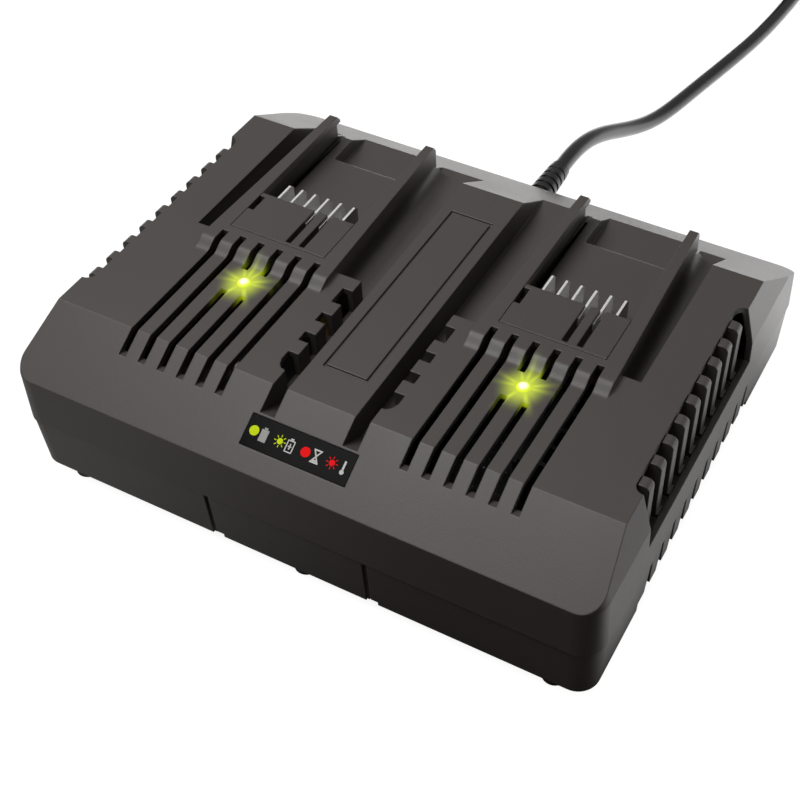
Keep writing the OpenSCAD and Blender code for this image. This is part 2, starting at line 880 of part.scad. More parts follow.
sink_w = 4;
sink_l = 50;
sink_h = 30;
sink_places = [[-20, -22], [66, -22]];

// Finned aluminium plates standing on the board
module heat_sinks() {
    color(metal_grey)
        for (p = sink_places)
            translate([p[0], p[1], board_top])
                for (i = [0 : 5])
                    union() {
                        if (i == 0) box([-1.5, -sink_l / 2, 0], [1.5, sink_l / 2, sink_h]);
                        translate([0, -sink_l / 2 + 2 + i * (sink_l - 4) / 5, 0])
                            box([1, -1, 3], [9, 1, sink_h]);
                    }
}

module power_transistors() {
    color(dark_grey)
        for (p = sink_places, y = [-14, 2, 18])
            translate([p[0] - 1.5 - 4.6, p[1] + y, board_top]) {
                box([0, -5, 5], [4.6, 5, 20]);
                for (x = [-1, 0, 1])
                    translate([2.3, x * 2.5, 0]) box([-0.4, -0.4, 0], [0.4, 0.4, 6]);
            }
}

module capacitors() {
    color([0.1, 0.12, 0.2])
        for (p = [[-45, 40, 11, 34], [-18, 42, 11, 34], [84, 40, 6, 20], [84, 24, 6, 20], [26, 54, 5, 16]])
            translate([p[0], p[1], board_top]) cylinder(h = p[3], r = p[2]);
}

// Common-mode choke: a ring core standing on a base plate
module line_choke() {
    color(copper)
        translate([-54, 4, board_top]) {
            box([-11, -7, 0], [11, 7, 2]);
            translate([0, 0, 13.4])
                rotate([90, 0, 0])
                    rotate_extrude() translate([8, 0]) circle(r = 3.8);
        }
}

module mains_fuse() {
    color([0.9, 0.88, 0.8])
        translate([-58, -36, board_top]) {
            translate([-11, 0, 4]) rotate([0, 90, 0]) cylinder(h = 22, r = 2.6);
            for (x = [-9.5, 9.5])
                translate([x, 0, 0]) box([-1.2, -3, 0], [1.2, 3, 4.5]);
        }
}

module board_screws() {
    color(metal_grey)
        for (p = board_posts)
            translate([p[0], p[1], 0]) {
                translate([0, 0, board_top]) cylinder(h = 2, r = 2.8);
                translate([0, 0, floor_top + 2.4]) cylinder(h = board_z - floor_top - 1.4, r = 1.2);
            }
}

// ---------------------------------------------------------------- fan

module fan_frame() {
    bore_r = fan_size / 2 - 1.6;
    color(dark_grey)
        translate([fan_x, fan_y, fan_z]) {
            difference() {
                box([-fan_t / 2, -fan_size / 2, -fan_size / 2], [fan_t / 2, fan_size / 2, fan_size / 2]);
                translate([-fan_t, 0, 0]) rotate([0, 90, 0]) cylinder(h = 2 * fan_t, r = bore_r);
                for (y = [-1, 1], z = [-1, 1])
                    translate([-fan_t, y * (fan_size / 2 - 4), z * (fan_size / 2 - 4)])
                        rotate([0, 90, 0]) cylinder(h = 2 * fan_t, r = 2);
            }
            difference() {
                union() {
                    for (a = [0, 120, 240])
                        rotate([a, 0, 0]) box([fan_t / 2 - 1.8, -1.2, fan_hub_r - 1], [fan_t / 2 - 0.2, 1.2, bore_r + 0.5]);
                    translate([fan_t / 2 - 2, 0, 0]) rotate([0, 90, 0]) cylinder(h = 2, r = fan_hub_r);
                    translate([fan_t / 2 - 5.5, 0, 0]) rotate([0, 90, 0]) cylinder(h = 4, r = 4);
                }
                translate([-fan_t, 0, 0]) rotate([0, 90, 0]) cylinder(h = fan_t * 2, r = fan_shaft_r + shaft_gap);
            }
        }
}

module fan_rotor() {
    tip_r = fan_size / 2 - 2.6;
    depth = fan_t - 4.5;
    x0 = -fan_t / 2 + 1;
    color([0.16, 0.16, 0.17])
        translate([fan_x, fan_y, fan_z]) {
            difference() {
                translate([x0, 0, 0]) rotate([0, 90, 0]) cylinder(h = depth, r = fan_hub_r);
                translate([x0 + 1.6, 0, 0]) rotate([0, 90, 0]) cylinder(h = depth, r = fan_hub_r - 1.4);
            }
            translate([x0, 0, 0]) rotate([0, 90, 0]) cylinder(h = fan_t - 2.6, r = fan_shaft_r);
            for (i = [0 : fan_blades - 1])
                rotate([i * 360 / fan_blades, 0, 0])
                    intersection() {
                        translate([x0 + depth / 2, 0, 0])
                            rotate([0, 0, 38])
                                box([-0.6, -depth * 0.72, fan_hub_r - 0.8], [0.6, depth * 0.72, fan_size / 2]);
                        translate([x0 + 0.3, 0, 0]) rotate([0, 90, 0]) cylinder(h = depth - 0.6, r = tip_r);
                    }
        }
}

// ---------------------------------------------------------------- fasteners and feet

module rubber_feet() {
    color([0.05, 0.05, 0.05])
        for (p = feet)
            translate([p[0], p[1], 0]) {
                cylinder(h = 1, r1 = foot_r - 1.2, r2 = foot_r - 0.4);
                translate([0, 0, 1]) cylinder(h = ground_gap + foot_seat - 1, r1 = foot_r - 0.4, r2 = foot_r);
            }
}

module case_screws() {
    color(metal_grey)
        for (p = case_bosses)
            translate([p[0], p[1], ground_gap]) {
                difference() {
                    translate([0, 0, 1.4]) cylinder(h = 2, r = 3.2);
                    for (a = [0, 90])
                        rotate([0, 0, a]) box([-2, -0.4, 1], [2, 0.4, 2.2]);
                }
                translate([0, 0, 3]) cylinder(h = parting_h - ground_gap + 7, r = screw_r);
            }
}

// ---------------------------------------------------------------- cord

// Ribbed sleeve: flange inside the rear wall, tapered ribs outside
module strain_relief() {
    y0 = rear_y - rear_lean;
    ribs = 6;
    rib_step = (relief_l - 4) / ribs;
    color([0.06, 0.06, 0.06])
        translate([relief_x, 0, cord_h])
            rotate([-90, 0, 0])
                difference() {
                    union() {
                        translate([0, 0, y0 - wall - 5]) cylinder(h = 5 - 0.1, r = relief_flange_r);
                        translate([0, 0, y0 - wall - 5]) cylinder(h = wall + 8, r = relief_r);
                        translate([0, 0, y0]) cylinder(h = relief_l, r1 = relief_r - 1, r2 = relief_tip_r - 0.4);
                        for (i = [0 : ribs - 1]) {
                            r = relief_r - (relief_r - relief_tip_r) * i / (ribs - 1);
                            translate([0, 0, y0 + 3.2 + i * rib_step]) cylinder(h = rib_step * 0.55, r = r);
                        }
                    }
                    translate([0, 0, y0 + relief_l - 6]) cylinder(h = 10, r = cord_r);
                }
}

// Mains cord inside the case, from the strain relief to the terminal block
module inner_cord() {
    y0 = board_y + board_d / 2 - 1;
    y1 = rear_y - rear_lean - wall - 5;
    color([0.06, 0.06, 0.06])
        translate([relief_x, y1, cord_h]) rotate([90, 0, 0]) cylinder(h = y1 - y0, r = cord_r);
}

// Strap over the cord, cut out to the cord's own radius
module cord_clamp() {
    base = cord_h - cord_r;
    color(dark_grey)
        translate([relief_x, clamp_y, 0])
            difference() {
                union() {
                    box([-17, -clamp_w / 2, base], [17, clamp_w / 2, base + 3]);
                    translate([0, clamp_w / 2, cord_h]) rotate([90, 0, 0]) cylinder(h = clamp_w, r = cord_r + 2.4);
                }
                box([-20, -10, 0], [20, 10, base]);
                translate([0, 10, cord_h]) rotate([90, 0, 0]) cylinder(h = 20, r = cord_r);
                box([-cord_r, -10, base - 1], [cord_r, 10, cord_h]);
                for (x = [-12, 12])
                    translate([x, 0, 0]) cylinder(h = 60, r = 1.5);
            }
}

module clamp_screws() {
    top = cord_h - cord_r + 3;
    color(metal_grey)
        for (x = [-12, 12])
            translate([relief_x + x, clamp_y, 0]) {
                translate([0, 0, top]) cylinder(h = 2, r = 2.8);
                translate([0, 0, top - 12]) cylinder(h = 13, r = 1.2);
            }
}

// Terminal block on the board that takes the mains cord
module inlet_terminal() {
    y1 = board_y + board_d / 2 - 1;
    color([0.2, 0.35, 0.3])
        difference() {
            box([-10, y1 - 11, board_top], [10, y1, cord_h + 5]);
            for (x = [-5, 5])
                translate([x, y1 - 5.5, cord_h + 2]) cylinder(h = 6, r = 2.4);
        }
}

// Unit vector, and the ring of a swept tube round a route point
function unit(v) = v / norm(v);
function heading(route, i) = unit(route[min(i + 1, len(route) - 1)] - route[max(i - 1, 0)]);
function tube_ring(centre, dir, r, sides) =
    let (side = unit(cross(dir, [0, 0, 1])), up = cross(side, dir))
    [for (k = [0 : sides - 1])
        centre + r * (cos(360 * k / sides) * side + sin(360 * k / sides) * up)];

// Tube along a list of points, closed with flat ends
module tube(route, r, sides) {
    n = len(route);
    rings = [for (i = [0 : n - 1]) each tube_ring(route[i], heading(route, i), r, sides)];
    walls = [for (i = [0 : n - 2], k = [0 : sides - 1])
        [i * sides + k, i * sides + (k + 1) % sides, (i + 1) * sides + (k + 1) % sides, (i + 1) * sides + k]];
    first = [for (k = [0 : sides - 1]) sides - 1 - k];
    last = [for (k = [0 : sides - 1]) (n - 1) * sides + k];
    polyhedron(points = rings, faces = concat(walls, [first, last]), convexity = 4);
}

module cord_lead() {
    color([0.06, 0.06, 0.06]) tube(lead_route, cord_r, 10);
}

module cord_tail() {
    color([0.06, 0.06, 0.06]) tube(tail_route, cord_r, 10);
}

// Outer shape of the wound turns, standing on the table
module cord_coil() {
    coil_w = coil_turn_cols * cord_d;
    coil_h = coil_turn_rows * cord_d;
    color([0.06, 0.06, 0.06])
        translate([coil_x, coil_y, 0])
            rotate_extrude() translate([coil_r - coil_w / 2, 0]) square([coil_w, coil_h]);
}

// Strap round the turns at one place
module coil_tie() {
    coil_w = coil_turn_cols * cord_d;
    coil_h = coil_turn_rows * cord_d;
    t = 1;
    color(dark_grey)
        translate([coil_x - coil_r, coil_y, 0])
            difference() {
                box([-coil_w / 2 - 0.4 - t, -5, 0], [coil_w / 2 + 0.9 + t, 5, coil_h + 0.3 + t]);
                box([-coil_w / 2 - 0.4, -6, -1], [coil_w / 2 + 0.9, 6, coil_h + 0.3]);
            }
}

plug_at = [-1, 490, 7];
plug_turn = 180;

// Flat two-pin plug lying on the table, its cord end towards -X
module mains_plug() {
    color([0.06, 0.06, 0.06])
        translate(plug_at)
            rotate([0, 0, plug_turn])
                difference() {
                    union() {
                        rotate([0, 90, 0]) cylinder(h = 12, r1 = cord_r + 0.4, r2 = 5.6);
                        intersection() {
                            box([10, -13, -7], [38, 13, 6.6]);
                            translate([24, 0, -8]) cylinder(h = 20, r = 18);
                        }
                    }
                    for (y = [-9.3, 9.3])
                        translate([20, y, 0]) rotate([0, 90, 0]) cylinder(h = 30, r = 2);
                }
}

module plug_pins() {
    color(metal_grey)
        translate(plug_at)
            rotate([0, 0, plug_turn])
                for (y = [-9.3, 9.3])
                    translate([20, y, 0]) {
                        rotate([0, 90, 0]) cylinder(h = 35, r = 2);
                        translate([35, 0, 0]) sphere(r = 2);
                    }
}

upper_shell();
lower_shell();
mirror([1, 0, 0]) side_grille();  // side_grille_left
side_grille();  // side_grille_right
at_dock(-1) contact_block();  // contact_block_left
at_dock(1) contact_block();  // contact_block_right
at_dock(-1) contact_blades();  // contact_blades_left
at_dock(1) contact_blades();  // contact_blades_right
at_dock(-1) terminal_board();  // terminal_board_left
at_dock(1) terminal_board();  // terminal_board_right
at_dock(-1) led_lens();  // led_lens_left
at_dock(1) led_lens();  // led_lens_right
at_dock(-1) led_board();  // led_board_left
at_dock(1) led_board();  // led_board_right
status_window();
status_board();
main_board();
transformer_core();
transformer_winding();
heat_sinks();
power_transistors();
capacitors();
line_choke();
mains_fuse();
board_screws();
fan_frame();
fan_rotor();
strain_relief();
inner_cord();
cord_clamp();
clamp_screws();
inlet_terminal();
rubber_feet();
case_screws();
cord_lead();
cord_coil();
coil_tie();
cord_tail();
mains_plug();
plug_pins();
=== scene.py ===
import math

import bmesh
import bpy
from bpy.props import BoolProperty, FloatProperty, FloatVectorProperty, PointerProperty
from mathutils import Matrix, Vector


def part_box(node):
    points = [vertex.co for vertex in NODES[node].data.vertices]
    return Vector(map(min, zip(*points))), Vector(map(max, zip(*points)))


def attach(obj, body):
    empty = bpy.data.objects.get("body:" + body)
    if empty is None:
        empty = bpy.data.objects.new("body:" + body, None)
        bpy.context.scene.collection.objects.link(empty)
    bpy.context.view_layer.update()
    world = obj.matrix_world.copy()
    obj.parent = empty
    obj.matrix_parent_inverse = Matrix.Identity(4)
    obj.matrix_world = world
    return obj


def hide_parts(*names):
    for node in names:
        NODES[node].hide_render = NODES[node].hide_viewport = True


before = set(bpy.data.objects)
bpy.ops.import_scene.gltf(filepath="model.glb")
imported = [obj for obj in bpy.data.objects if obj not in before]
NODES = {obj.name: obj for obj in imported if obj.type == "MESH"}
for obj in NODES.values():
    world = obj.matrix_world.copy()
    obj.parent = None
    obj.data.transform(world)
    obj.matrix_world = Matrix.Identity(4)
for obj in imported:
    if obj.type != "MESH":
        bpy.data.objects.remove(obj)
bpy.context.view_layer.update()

bl_info = {
    "name": "Two-port battery charger",
    "version": (1, 0, 0),
    "blender": (4, 5, 0),
    "location": "View3D > Sidebar > Charger",
    "description": "Finishes and fine detail of a two-port charger for cordless tool batteries",
    "category": "Object",
}

MM = 0.001


def node_box(name):
    """Lowest and highest corner of a CAD node as vectors."""
    low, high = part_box(name)
    return Vector(low), Vector(high)


def node_middle(name):
    """Middle of the box round a CAD node."""
    low, high = node_box(name)
    return (low + high) / 2


# Middles of the two indicator lamps, and the height of the deck they stand in
LAMPS = (node_middle("led_lens_left"), node_middle("led_lens_right"))
DECK = 71.5 * MM
# Front bevel: how far it reaches forward and how far it drops
BEVEL_RUN = 29.2 * MM
BEVEL_DROP = 16.5 * MM
# Length of the status window down the bevel
WINDOW_LENGTH = 11.8 * MM


# ---------------------------------------------------------------- shader maths


class Value:
    """A socket of a shader tree that can be used in Python expressions."""

    def __init__(self, shading, socket):
        self.shading = shading
        self.socket = socket

    def maths(self, operation, *others, clamp=False):
        """A Math node that takes this value first."""
        settings = {"operation": operation, "use_clamp": clamp}
        return self.shading.node("ShaderNodeMath", settings, dict(enumerate((self, *others))))

    def __add__(self, other):
        return self.maths("ADD", other)

    __radd__ = __add__

    def __mul__(self, other):
        return self.maths("MULTIPLY", other)

    __rmul__ = __mul__

    def __sub__(self, other):
        return self.maths("SUBTRACT", other)

    def __rsub__(self, other):
        return (self * -1.0) + other

    def __truediv__(self, other):
        return self.maths("DIVIDE", other)

    def __pow__(self, power):
        return self.maths("POWER", power)

    def clamp(self):
        """Holds the value between 0 and 1."""
        return self.maths("ADD", 0.0, clamp=True)

    def ramp(self, low, high):
        """0 below low, 1 above high, smooth between them."""
        values = {"Value": self, "From Min": low, "From Max": high}
        return self.shading.node("ShaderNodeMapRange", {"interpolation_type": "SMOOTHSTEP"}, values)


class Shading:
    """The shader tree of a material or of the world."""

    def __init__(self, tree):
        self.tree = tree

    def plug(self, slot, item):
        """Links a Value to a socket, or sets the socket to a plain value."""
        if isinstance(item, Value):
            self.tree.links.new(item.socket, slot)
        else:
            slot.default_value = item

    def node(self, kind, settings=None, values=None, out=0):
        """Adds a node: its settings first, then the values or links of its sockets."""
        node = self.tree.nodes.new(kind)
        for key, value in (settings or {}).items():
            setattr(node, key, value)
        for key, value in (values or {}).items():
            self.plug(node.inputs[key], value)
        return Value(self, node.outputs[out])

    def outputs(self, kind, names, values=None):
        """Adds a node and gives several of its outputs."""
        sockets = self.node(kind, values=values).socket.node.outputs
        return [Value(self, sockets[name]) for name in names]

    def mix(self, factor, a, b):
        """A colour that goes from a to b as the factor goes from 0 to 1."""
        return self.node("ShaderNodeMix", {"data_type": "RGBA"}, {0: factor, 6: a, 7: b}, 2)


class Finish(Shading):
    """A material under construction, with its Principled shader and its coordinates."""

    def __init__(self, name):
        self.material = bpy.data.materials.new(name)
        self.material.use_nodes = True
        super().__init__(self.material.node_tree)
        self.shader = self.tree.nodes["Principled BSDF"]
        self._place = None

    def place(self):
        """Object coordinates in metres."""
        if self._place is None:
            self._place = self.node("ShaderNodeTexCoord", out="Object")
        return self._place

    def axes(self):
        """The three Object coordinates as values."""
        return self.outputs("ShaderNodeSeparateXYZ", "XYZ", {0: self.place()})

    def noise(self, scale, detail=2.0, roughness=0.5, where=None):
        """Cloudy pattern about 1 / scale metres in size."""
        values = {"Vector": where or self.place(), "Scale": scale, "Detail": detail, "Roughness": roughness}
        return self.node("ShaderNodeTexNoise", values=values, out="Fac")

    def cells(self, scale, **settings):
        """Distance to the nearest of many scattered points."""
        values = {"Vector": self.place(), "Scale": scale}
        return self.node("ShaderNodeTexVoronoi", settings, values, "Distance")

    def stretched(self, sx, sy, sz):
        """Object coordinates scaled along each axis."""
        return self.node("ShaderNodeMapping", values={"Vector": self.place(), "Scale": (sx, sy, sz)})

    def soft_edge(self, radius):
        """Normal rounded over the edges, and a mask of the edges themselves."""
        rounded = self.node("ShaderNodeBevel", {"samples": 6}, {"Radius": radius})
        flat = self.node("ShaderNodeNewGeometry", out="Normal")
        dot = {"operation": "DOT_PRODUCT"}
        along = self.node("ShaderNodeVectorMath", dot, {0: rounded, 1: flat}, "Value")
        return rounded, (1.0 - along).ramp(0.004, 0.16)

    def bump(self, height, distance, strength=1.0, normal=None):
        """Normal of a relief that is distance metres deep."""
        values = {"Height": height, "Distance": distance, "Strength": strength}
        if normal is not None:
            values["Normal"] = normal
        return self.node("ShaderNodeBump", values=values)

    def set(self, **sockets):
        """Sets or links sockets of the Principled shader, named with _ for a blank."""
        for key, value in sockets.items():
            self.plug(self.shader.inputs[key.replace("_", " ")], value)
        return self.material


def rgb(r, g, b):
    """An opaque colour."""
    return (r, g, b, 1.0)


def shade(colour, factor):
    """The colour made darker or lighter."""
    return (colour[0] * factor, colour[1] * factor, colour[2] * factor, 1.0)


WHITE = rgb(1.0, 1.0, 1.0)
BLACK = rgb(0.0, 0.0, 0.0)


# ---------------------------------------------------------------- finishes


def moulded_case(name, colour, glow=False):
    """Charcoal moulded plastic: spark-eroded grain, soft edges that shine a little and are lighter in colour
    (partly wear, partly a painted highlight), faint handling marks.
    """
    look = bpy.context.scene.charger_look
    f = Finish(name)
    rounded, edge = f.soft_edge(look.edge_radius)
    grain = f.noise(2600.0, 3.0, 0.6)
    pits = f.cells(1900.0, feature="SMOOTH_F1")
    cloud = f.noise(22.0, 3.0, 0.55)
    streak = f.noise(60.0, 2.0, 0.5, f.stretched(1.0, 0.12, 1.0))
    tone = (cloud - 0.5) * 0.16 + (grain - 0.5) * 0.22 + (streak - 0.5) * 0.07
    # Edges lighter in colour: partly wear, partly a painted highlight
    lift = (tone + edge * 0.35 + 0.5).clamp()
    base = f.mix(lift, shade(colour, 0.66), shade(colour, 1.36))
    rough = (look.case_roughness + (grain - 0.5) * 0.22 + (cloud - 0.5) * 0.1 - edge * 0.1).clamp()
    height = grain * 0.6 + pits * 0.5
    f.set(Base_Color=base, Roughness=rough, Normal=f.bump(height, look.grain_depth, 0.55, rounded))
    f.set(Specular_IOR_Level=0.5)
    # Painted light of the indicators on the plastic round them
    if glow:
        light_spill(f, look)
    return f.material


def light_spill(f, look):
    """Painted light: green glow of both indicators shining from the plastic round them, with rays. Its
    lengths are millimetres.
    """
    halo_start, halo_end = 1.4, 11.5
    rays_start, rays_end = 2.0, 15.0
    depth, surface = 4.5 * MM, 0.5 * MM
    stretch = 0.8
    x, y, z = f.axes()
    parts = []
    for lamp in LAMPS:
        dx = (x - lamp.x) / MM
        dy = (y - lamp.y) / MM * stretch
        r = (dx * dx + dy * dy) ** 0.5
        turn = dy.maths("ARCTAN2", dx)
        five_rays = ((turn * 2.5 + 0.45).maths("SINE").maths("ABSOLUTE")) ** 26.0
        six_rays = ((turn * 3.0 + 1.2).maths("SINE").maths("ABSOLUTE")) ** 18.0
        halo = (1.0 - r.ramp(halo_start, halo_end)) ** 1.6
        rays = (five_rays * 0.42 + six_rays * 0.34) * (1.0 - r.ramp(rays_start, rays_end)) ** 1.2
        parts.append(halo + rays)
    left, right = parts
    top = z.ramp(DECK - depth, DECK - surface)
    amount = ((left + right) * top).clamp()
    glow = f.mix(amount, BLACK, (*look.lamp_colour, 1.0))
    f.set(Emission_Color=glow, Emission_Strength=look.spill_strength)


def window_film():
    """Glossy printed film with the faintest orange peel."""
    f = Finish("Window film")
    wave = f.noise(700.0, 1.0)
    dust = f.noise(5200.0, 2.0).ramp(0.66, 0.8)
    f.set(Base_Color=f.mix(dust * 0.4, rgb(0.0015, 0.0014, 0.0014), rgb(0.012, 0.012, 0.012)))
    f.set(Roughness=(wave * 0.08 + dust * 0.1 + 0.1).clamp(), Normal=f.bump(wave, 0.00002, 0.4))
    return f.set(Specular_IOR_Level=0.03, Coat_Weight=0.01, Coat_Roughness=0.08)


def printed_ink(name, colour, painted_glow=0.0):
    """Screen-printed ink on the film. Given a glow strength, it also shines by itself: a painted glow, though
    ink is no lamp.
    """
    f = Finish(name)
    speck = f.noise(9000.0, 2.0)
    f.set(Base_Color=f.mix(speck, shade(colour, 0.85), shade(colour, 1.1)), Roughness=0.45)
    if painted_glow:
        f.set(Emission_Color=f.mix(speck, shade(colour, 0.9), shade(colour, 1.1)), Emission_Strength=painted_glow)
    f.set(Normal=f.bump(speck, 0.000006, 0.4), Specular_IOR_Level=0.08)
    return f.material


def lamp_lens():
    """Lit lens: nearly white in the middle, yellow-green at its rim."""
    look = bpy.context.scene.charger_look
    f = Finish("Lamp lens")
    x, y, _ = f.axes()
    left, right = ((x - lamp.x).maths("ABSOLUTE") for lamp in LAMPS)
    dx = left.maths("MINIMUM", right) / MM
    dy = (y - LAMPS[0].y) / MM
    r = (dx * dx + dy * dy) ** 0.5
    rim = r.ramp(0.7, 2.5)
    colour = (*look.lamp_colour, 1.0)
    f.set(Base_Color=f.mix(rim, rgb(0.8, 0.9, 0.4), colour), Roughness=0.2)
    f.set(Emission_Color=f.mix(rim, rgb(0.9, 0.88, 0.55), shade(look.lamp_colour, 0.68)))
    f.set(Emission_Strength=look.lamp_strength)
    return f.set(Coat_Weight=0.5)


def metal(name, colour, roughness, brush=(1.0, 1.0, 1.0), scratch=0.2, metallic=1.0):
    """Plated or drawn metal with fine brushing along one axis and small scratches."""
    f = Finish(name)
    lines = f.noise(3000.0, 3.0, 0.6, f.stretched(*brush))
    marks = f.noise(900.0, 4.0, 0.7).ramp(0.58, 0.72)
    rounded, edge = f.soft_edge(0.00015)
    # Edges lighter in colour: partly wear, partly a painted highlight
    tone = ((lines - 0.5) * 0.5 + 0.5 + edge * 0.3 - marks * scratch).clamp()
    f.set(Base_Color=f.mix(tone, shade(colour, 0.78), shade(colour, 1.08)), Metallic=metallic)
    f.set(Roughness=(lines * 0.14 + marks * 0.12 + roughness - 0.07).clamp())
    f.set(Normal=f.bump(lines, 0.00001, 0.5, rounded))
    return f.material


def rubber(name, colour, roughness=0.62):
    """Soft black rubber with a dull bloom."""
    f = Finish(name)
    rounded, edge = f.soft_edge(0.0004)
    bloom = f.noise(120.0, 4.0, 0.6)
    grain = f.noise(4200.0, 2.0)
    # Edges lighter in colour: partly wear, partly a painted highlight
    tone = (bloom * 0.5 + (grain - 0.5) * 0.3 + edge * 0.3).clamp()
    f.set(Base_Color=f.mix(tone, shade(colour, 0.7), shade(colour, 1.7)))
    f.set(Roughness=((bloom - 0.5) * 0.2 + roughness).clamp(), Normal=f.bump(grain, 0.00003, 0.5, rounded))
    return f.material


def cord_sheath():
    """Extruded cord sheath: fine grain, a faint bloom and a satin shine."""
    f = Finish("Cord sheath")
    grain = f.noise(3600.0, 2.0)
    bloom = f.noise(90.0, 3.0)
    tone = (bloom * 0.6 + (grain - 0.5) * 0.3).clamp()
    f.set(Base_Color=f.mix(tone, rgb(0.007, 0.007, 0.007), rgb(0.026, 0.025, 0.024)))
    f.set(Roughness=((bloom - 0.5) * 0.16 + 0.36).clamp(), Normal=f.bump(grain, 0.00002, 0.45))
    return f.material


def circuit_board():
    """Solder mask over copper tracks, with pads."""
    f = Finish("Circuit board")
    squares = f.cells(210.0, distance="CHEBYCHEV")
    tracks = squares.ramp(0.24, 0.27) * (1.0 - squares.ramp(0.33, 0.36))
    dots = 1.0 - f.cells(330.0).ramp(0.13, 0.17)
    speck = f.noise(4000.0, 2.0)
    mask = f.mix(tracks, rgb(0.006, 0.009, 0.007), rgb(0.014, 0.02, 0.015))
    f.set(Base_Color=f.mix(dots, mask, rgb(0.6, 0.6, 0.58)), Metallic=dots * 0.9)
    f.set(Roughness=(speck * 0.1 + 0.28).clamp(), Normal=f.bump(tracks + dots, 0.00004, 0.6))
    return f.set(Coat_Weight=0.2)


def wound_tape():
    """Amber polyester tape over a winding, with the wraps showing."""
    f = Finish("Winding tape")
    _, _, z = f.axes()
    wraps = (z * 2400.0).maths("SINE") * 0.5 + 0.5
    blot = f.noise(160.0, 3.0)
    tone = (wraps * 0.4 + blot * 0.6).clamp()
    f.set(Base_Color=f.mix(tone, rgb(0.45, 0.24, 0.03), rgb(0.78, 0.5, 0.1)))
    f.set(Roughness=(blot * 0.2 + 0.2).clamp(), Normal=f.bump(wraps, 0.00006, 0.5))
    return f.set(Coat_Weight=0.3)


def ferrite():
    """Sintered grey-black core with a gritty skin."""
    f = Finish("Ferrite")
    grit = f.noise(1800.0, 4.0, 0.7)
    rounded, edge = f.soft_edge(0.0003)
    # Edges lighter in colour: partly wear, partly a painted highlight
    tone = (grit * 0.7 + edge * 0.4).clamp()
    f.set(Base_Color=f.mix(tone, rgb(0.02, 0.02, 0.022), rgb(0.075, 0.075, 0.08)))
    f.set(Roughness=(grit * 0.25 + 0.45).clamp(), Normal=f.bump(grit, 0.00004, 0.6, rounded))
    return f.material


def sleeve():
    """Printed plastic sleeve of the capacitors, with a pale stripe on one side."""
    f = Finish("Capacitor sleeve")
    x, y, _ = f.axes()
    band = ((x + y) * 130.0).maths("SINE").ramp(0.93, 0.96)
    haze = f.noise(240.0, 3.0)
    f.set(Base_Color=f.mix((band * 0.7).clamp(), rgb(0.016, 0.02, 0.05), rgb(0.35, 0.36, 0.4)))
    f.set(Roughness=(haze * 0.2 + 0.2).clamp(), Normal=f.bump(haze, 0.00004, 0.4))
    return f.set(Coat_Weight=0.3)


def black_plastic():
    """Black moulded plastic of the small parts inside, made once."""
    return bpy.data.materials.get("Black plastic") or moulded_case("Black plastic", (0.02, 0.02, 0.021))


def fuse_ceramic():
    """Glazed pale ceramic of the fuse body."""
    f = Finish("Fuse ceramic")
    haze = f.noise(500.0, 3.0)
    f.set(Base_Color=f.mix(haze, rgb(0.62, 0.58, 0.47), rgb(0.82, 0.79, 0.7)))
    return f.set(Roughness=(haze * 0.2 + 0.2).clamp(), Normal=f.bump(haze, 0.00003, 0.4))


# ---------------------------------------------------------------- mesh helpers


def new_piece(name, mesh, material):
    """Adds a finished mesh to the scene as a piece of the case."""
    piece = bpy.data.objects.new(name, mesh)
    bpy.context.scene.collection.objects.link(piece)
    mesh.materials.append(material)
    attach(piece, "case")
    return piece


def mesh_of(bm, name):
    """Turns a bmesh into a mesh with outward faces."""
    bmesh.ops.recalc_face_normals(bm, faces=bm.faces)
    mesh = bpy.data.meshes.new(name)
    bm.to_mesh(mesh)
    bm.free()
    return mesh


def add_disc(bm, radius, at, height, sides=24):
    """A round plate of a given height, standing on the window plane at a place."""
    rims = bmesh.ops.create_cone(bm, cap_ends=True, segments=sides, radius1=radius, radius2=radius,
                                 depth=height)["verts"]
    bmesh.ops.translate(bm, verts=rims, vec=(*at, height / 2))


def add_plate(bm, width, depth, at, height, turn=0.0):
    """A rectangular plate of a given height, standing on the window plane at a place."""
    corners = bmesh.ops.create_cube(bm, size=1.0)["verts"]
    bmesh.ops.scale(bm, verts=corners, vec=(width, depth, height))
    bmesh.ops.rotate(bm, verts=corners, matrix=Matrix.Rotation(turn, 3, "Z"))
    bmesh.ops.translate(bm, verts=corners, vec=(*at, height / 2))


# ---------------------------------------------------------------- sizes and colours


class ChargerLook(bpy.types.PropertyGroup):
    """Sizes and colours of the finishes"""

    case_colour: FloatVectorProperty(
        name="Housing colour", description="Colour of the moulded case", subtype="COLOR",
        default=(0.074, 0.0652, 0.0612), min=0.0, max=1.0)
    case_roughness: FloatProperty(
        name="Housing roughness", description="Roughness of the moulded grain", subtype="FACTOR",
        default=0.43, min=0.0, max=1.0)
    grain_depth: FloatProperty(
        name="Grain depth", description="Depth of the moulded grain", subtype="DISTANCE", unit="LENGTH",
        default=0.00006, min=0.0, max=0.001)
    edge_radius: FloatProperty(
        name="Edge radius", description="Radius that the moulded edges seem to have", subtype="DISTANCE",
        unit="LENGTH", default=0.0007, min=0.0, max=0.003)
    lamp_colour: FloatVectorProperty(
        name="Lamp colour", description="Colour of the charge indicators", subtype="COLOR",
        default=(0.6, 0.74, 0.01), min=0.0, max=1.0)
    lamp_strength: FloatProperty(
        name="Lamp strength", description="Brightness of the indicator lenses",
        default=1.15, min=0.0, max=20.0)
    spill_strength: FloatProperty(
        name="Spill strength", description="Brightness of the light round the lenses",
        default=0.9, min=0.0, max=5.0)


class ChargerCord(bpy.types.PropertyGroup):
    """Sizes of the mains cord"""

    diameter: FloatProperty(
        name="Cord diameter", description="Outer diameter of the mains cord", subtype="DISTANCE",
        unit="LENGTH", default=0.0076, min=0.005, max=0.012)
    coil_diameter: FloatProperty(
        name="Coil diameter", description="Diameter at the middle of the turns", subtype="DISTANCE",
        unit="LENGTH", default=0.084, min=0.07, max=0.12)


